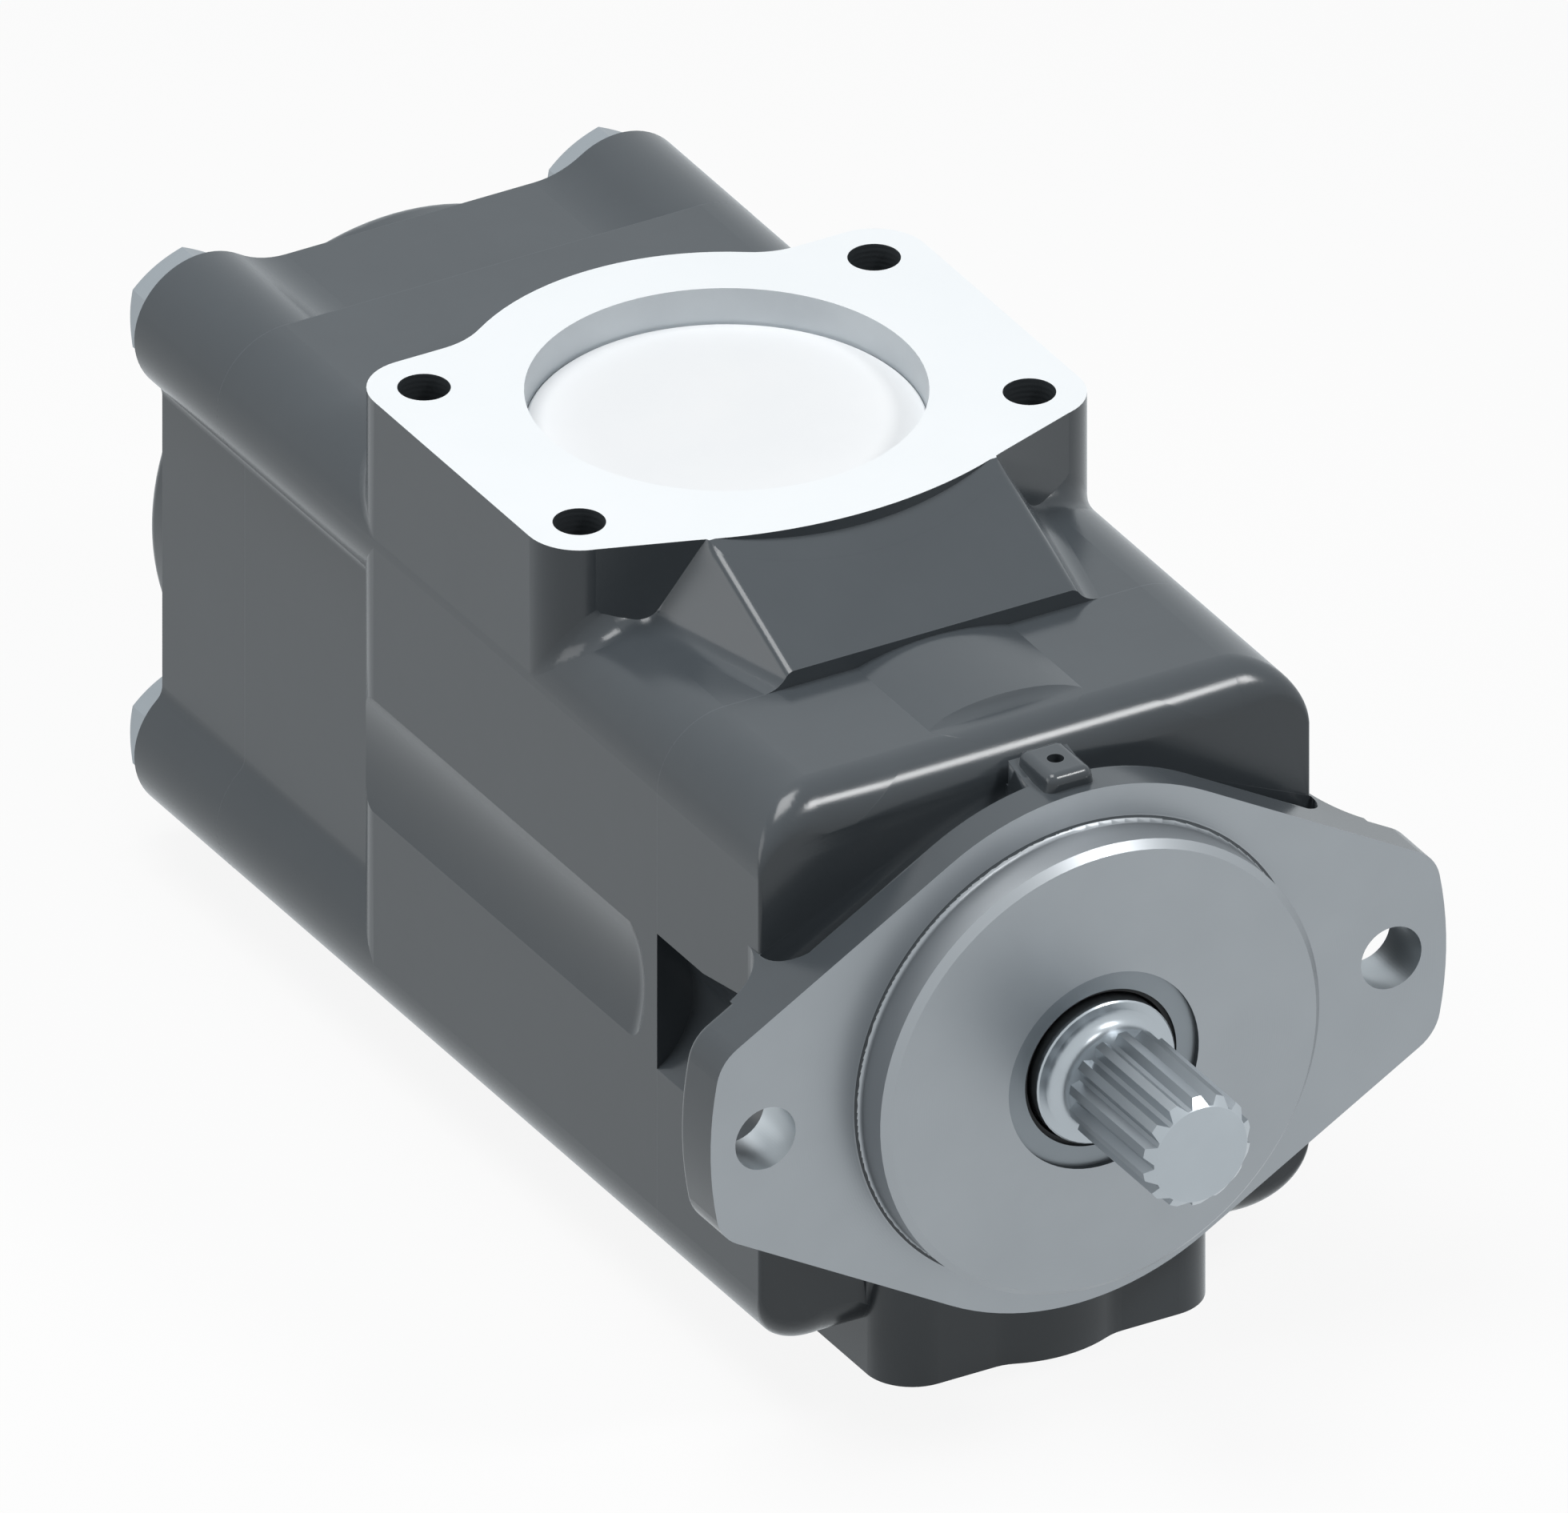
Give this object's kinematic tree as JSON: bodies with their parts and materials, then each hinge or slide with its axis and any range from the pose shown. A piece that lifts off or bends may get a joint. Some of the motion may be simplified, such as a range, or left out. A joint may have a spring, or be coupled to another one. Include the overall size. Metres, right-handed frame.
{
  "type": "hydraulic vane pump",
  "caption": "Flange-mounted double vane pump: splined shaft, big top suction pad, discharge pads below, three iron castings clamped by tie bolts.",
  "frame": {"origin": "the shaft axis at the front face of the mounting flange", "axes": "+Y runs back along the pump from the flange, +Z points out of the suction port, +X completes the right-handed frame"},
  "size_m": [0.2128, 0.4085, 0.1943],
  "materials": {
    "cast_iron_grey_paint": "satin grey paint on cast iron",
    "zinc_plated_steel": "bright zinc plating",
    "white_closure": "smooth white plastic",
    "ground_shaft_steel": "ground steel",
    "pressed_steel": "pressed sheet steel",
    "black_rubber": "black nitrile rubber",
    "spring_steel": "oiled spring steel",
    "bearing_steel": "polished bearing steel",
    "brass_cage": "machined brass",
    "hardened_steel": "hardened ground steel",
    "machined_cast_iron": "machined grey iron"
  },
  "bodies": {
    "pump_body": {"mounting_cap": "cast_iron_grey_paint", "centre_housing": "cast_iron_grey_paint", "rear_cap": "cast_iron_grey_paint", "tie_bolts": "zinc_plated_steel", "suction_port_closure": "white_closure", "shaft_seal_case": "pressed_steel", "shaft_seal_lip": "black_rubber", "seal_garter_spring": "spring_steel", "front_cap_oring": "black_rubber", "rear_cap_oring": "black_rubber", "front_bearing_outer_ring": "bearing_steel", "rear_bearing_outer_ring": "bearing_steel", "bearing_bore_circlip": "spring_steel", "front_cam_ring": "hardened_steel", "front_pressure_plate": "machined_cast_iron", "front_suction_plate": "machined_cast_iron", "front_plate_oring": "black_rubber", "front_dowel_pins": "hardened_steel", "front_cartridge_screws": "hardened_steel", "rear_cam_ring": "hardened_steel", "rear_pressure_plate": "machined_cast_iron", "rear_suction_plate": "machined_cast_iron", "rear_plate_oring": "black_rubber", "rear_dowel_pins": "hardened_steel", "rear_cartridge_screws": "hardened_steel"},
    "shaft": {"drive_shaft": "ground_shaft_steel", "front_bearing_inner_ring": "bearing_steel", "rear_bearing_inner_ring": "bearing_steel", "shaft_circlip": "spring_steel", "front_rotor": "hardened_steel", "rear_rotor": "hardened_steel"},
    "front_bearing_ball_set": {"front_bearing_cage": "brass_cage", "front_bearing_balls": "bearing_steel"},
    "rear_bearing_ball_set": {"rear_bearing_cage": "brass_cage", "rear_bearing_balls": "bearing_steel"},
    "front_vane_01": {"front_vane_01": "hardened_steel"},
    "front_vane_02": {"front_vane_02": "hardened_steel"},
    "front_vane_03": {"front_vane_03": "hardened_steel"},
    "front_vane_04": {"front_vane_04": "hardened_steel"},
    "front_vane_05": {"front_vane_05": "hardened_steel"},
    "front_vane_06": {"front_vane_06": "hardened_steel"},
    "front_vane_07": {"front_vane_07": "hardened_steel"},
    "front_vane_08": {"front_vane_08": "hardened_steel"},
    "front_vane_09": {"front_vane_09": "hardened_steel"},
    "front_vane_10": {"front_vane_10": "hardened_steel"},
    "rear_vane_01": {"rear_vane_01": "hardened_steel"},
    "rear_vane_02": {"rear_vane_02": "hardened_steel"},
    "rear_vane_03": {"rear_vane_03": "hardened_steel"},
    "rear_vane_04": {"rear_vane_04": "hardened_steel"},
    "rear_vane_05": {"rear_vane_05": "hardened_steel"},
    "rear_vane_06": {"rear_vane_06": "hardened_steel"},
    "rear_vane_07": {"rear_vane_07": "hardened_steel"},
    "rear_vane_08": {"rear_vane_08": "hardened_steel"},
    "rear_vane_09": {"rear_vane_09": "hardened_steel"},
    "rear_vane_10": {"rear_vane_10": "hardened_steel"}
  },
  "joints": [
    {"name": "shaft_spin", "type": "hinge", "parent": "pump_body", "child": "shaft", "pos_m": [0, 0, 0], "axis": [0, -1, 0], "continuous": true},
    {"name": "front_ball_set_spin", "type": "hinge", "parent": "pump_body", "child": "front_bearing_ball_set", "pos_m": [0, 0.011, 0], "axis": [0, -1, 0], "continuous": true},
    {"name": "rear_ball_set_spin", "type": "hinge", "parent": "pump_body", "child": "rear_bearing_ball_set", "pos_m": [0, 0.325, 0], "axis": [0, -1, 0], "continuous": true},
    {"name": "front_vane_01_slide", "type": "slide", "parent": "shaft", "child": "front_vane_01", "axis": [0.309, 0, 0.9511], "range_m": [0, 0.0006]},
    {"name": "front_vane_02_slide", "type": "slide", "parent": "shaft", "child": "front_vane_02", "axis": [0.809, 0, 0.5878], "range_m": [0, 0.00471]},
    {"name": "front_vane_03_slide", "type": "slide", "parent": "shaft", "child": "front_vane_03", "axis": [1, 0, 0], "range_m": [0, 0.00647]},
    {"name": "front_vane_04_slide", "type": "slide", "parent": "shaft", "child": "front_vane_04", "axis": [0.809, 0, -0.5878], "range_m": [0, 0.00471]},
    {"name": "front_vane_05_slide", "type": "slide", "parent": "shaft", "child": "front_vane_05", "axis": [0.309, 0, -0.9511], "range_m": [0, 0.0006]},
    {"name": "front_vane_06_slide", "type": "slide", "parent": "shaft", "child": "front_vane_06", "axis": [-0.309, 0, -0.9511], "range_m": [0, 0.0006]},
    {"name": "front_vane_07_slide", "type": "slide", "parent": "shaft", "child": "front_vane_07", "axis": [-0.809, 0, -0.5878], "range_m": [0, 0.00471]},
    {"name": "front_vane_08_slide", "type": "slide", "parent": "shaft", "child": "front_vane_08", "axis": [-1, 0, 0], "range_m": [0, 0.00647]},
    {"name": "front_vane_09_slide", "type": "slide", "parent": "shaft", "child": "front_vane_09", "axis": [-0.809, 0, 0.5878], "range_m": [0, 0.00471]},
    {"name": "front_vane_10_slide", "type": "slide", "parent": "shaft", "child": "front_vane_10", "axis": [-0.309, 0, 0.9511], "range_m": [0, 0.0006]},
    {"name": "rear_vane_01_slide", "type": "slide", "parent": "shaft", "child": "rear_vane_01", "axis": [0.309, 0, 0.9511], "range_m": [0, 0.00057]},
    {"name": "rear_vane_02_slide", "type": "slide", "parent": "shaft", "child": "rear_vane_02", "axis": [0.809, 0, 0.5878], "range_m": [0, 0.00399]},
    {"name": "rear_vane_03_slide", "type": "slide", "parent": "shaft", "child": "rear_vane_03", "axis": [1, 0, 0], "range_m": [0, 0.00547]},
    {"name": "rear_vane_04_slide", "type": "slide", "parent": "shaft", "child": "rear_vane_04", "axis": [0.809, 0, -0.5878], "range_m": [0, 0.00399]},
    {"name": "rear_vane_05_slide", "type": "slide", "parent": "shaft", "child": "rear_vane_05", "axis": [0.309, 0, -0.9511], "range_m": [0, 0.00057]},
    {"name": "rear_vane_06_slide", "type": "slide", "parent": "shaft", "child": "rear_vane_06", "axis": [-0.309, 0, -0.9511], "range_m": [0, 0.00057]},
    {"name": "rear_vane_07_slide", "type": "slide", "parent": "shaft", "child": "rear_vane_07", "axis": [-0.809, 0, -0.5878], "range_m": [0, 0.00399]},
    {"name": "rear_vane_08_slide", "type": "slide", "parent": "shaft", "child": "rear_vane_08", "axis": [-1, 0, 0], "range_m": [0, 0.00547]},
    {"name": "rear_vane_09_slide", "type": "slide", "parent": "shaft", "child": "rear_vane_09", "axis": [-0.809, 0, 0.5878], "range_m": [0, 0.00399]},
    {"name": "rear_vane_10_slide", "type": "slide", "parent": "shaft", "child": "rear_vane_10", "axis": [-0.309, 0, 0.9511], "range_m": [0, 0.00057]}
  ],
  "couplings": [
    {"joint": "front_ball_set_spin", "follows": "shaft_spin", "ratio": 0.4},
    {"joint": "rear_ball_set_spin", "follows": "shaft_spin", "ratio": 0.3961}
  ]
}
